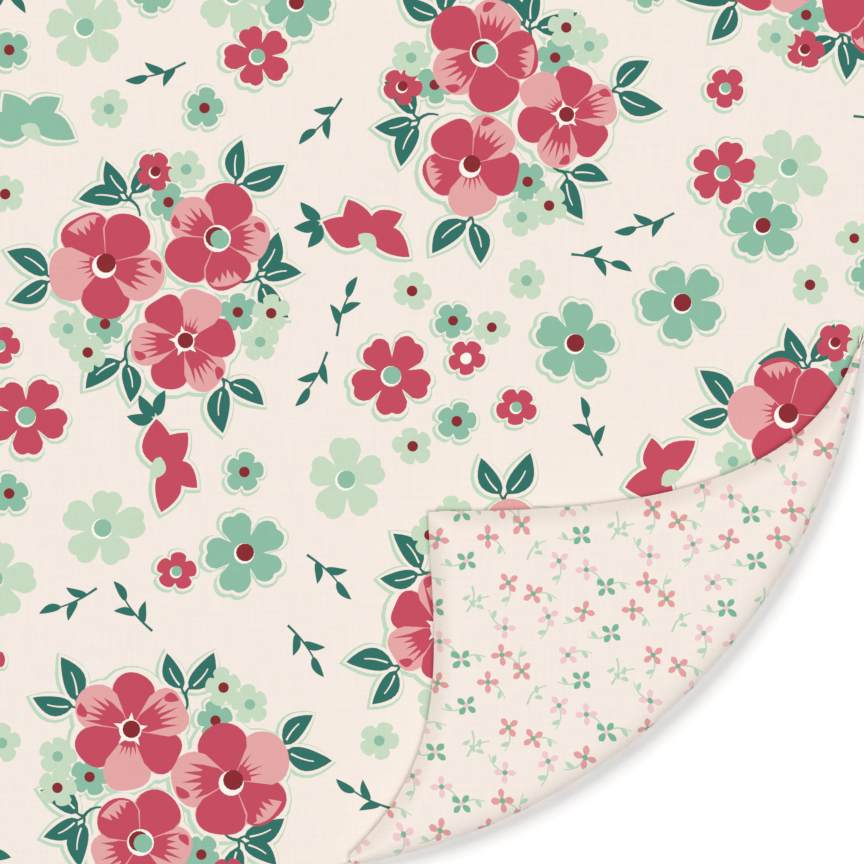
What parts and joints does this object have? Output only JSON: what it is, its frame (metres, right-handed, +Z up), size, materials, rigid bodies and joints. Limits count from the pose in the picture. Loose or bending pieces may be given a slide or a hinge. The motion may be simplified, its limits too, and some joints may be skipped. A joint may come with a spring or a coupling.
{
  "type": "fabric bolt",
  "caption": "Reversible floral cloth wound on a flat folded-card board, its free end laid out flat with the front corner turned back to show the second print.",
  "frame": {"origin": "centre of the bounding box, on the surface the bolt lies on", "axes": "+X along the board, +Y from the free end towards the bolt, +Z up; metres"},
  "size_m": [0.5906, 0.6628, 0.0622],
  "materials": {
    "card": "matte brown corrugated card",
    "label": "smooth uncoated paper",
    "wound_cloth": "plain-weave cotton seen edge on",
    "face_ply": "plain-weave cotton with a large rose print",
    "back_ply": "plain-weave cotton with a small scattered flower print"
  },
  "bodies": {
    "bolt": {"board_top_panel": "card", "board_bottom_panel": "card", "board_front_wall": "card", "board_back_wall": "card", "board_left_end_flap": "card", "board_right_end_flap": "card", "board_front_rib": "card", "board_back_rib": "card", "end_label": "label", "wound_cloth": "wound_cloth", "run_off_back_ply": "back_ply", "run_off_face_ply": "face_ply", "free_end_back_ply": "back_ply", "free_end_face_ply": "face_ply", "turned_corner_face_ply": "face_ply", "turned_corner_back_ply": "back_ply"},
    "corner_tip": {"corner_tip_face_ply": "face_ply", "corner_tip_back_ply": "back_ply"}
  },
  "joints": [
    {"name": "corner_tip_lift", "type": "hinge", "parent": "bolt", "child": "corner_tip", "pos_m": [0.16566, -0.24638, 0.0111], "axis": [0.7071, 0.7071, 0], "range_deg": [0, 165]}
  ]
}
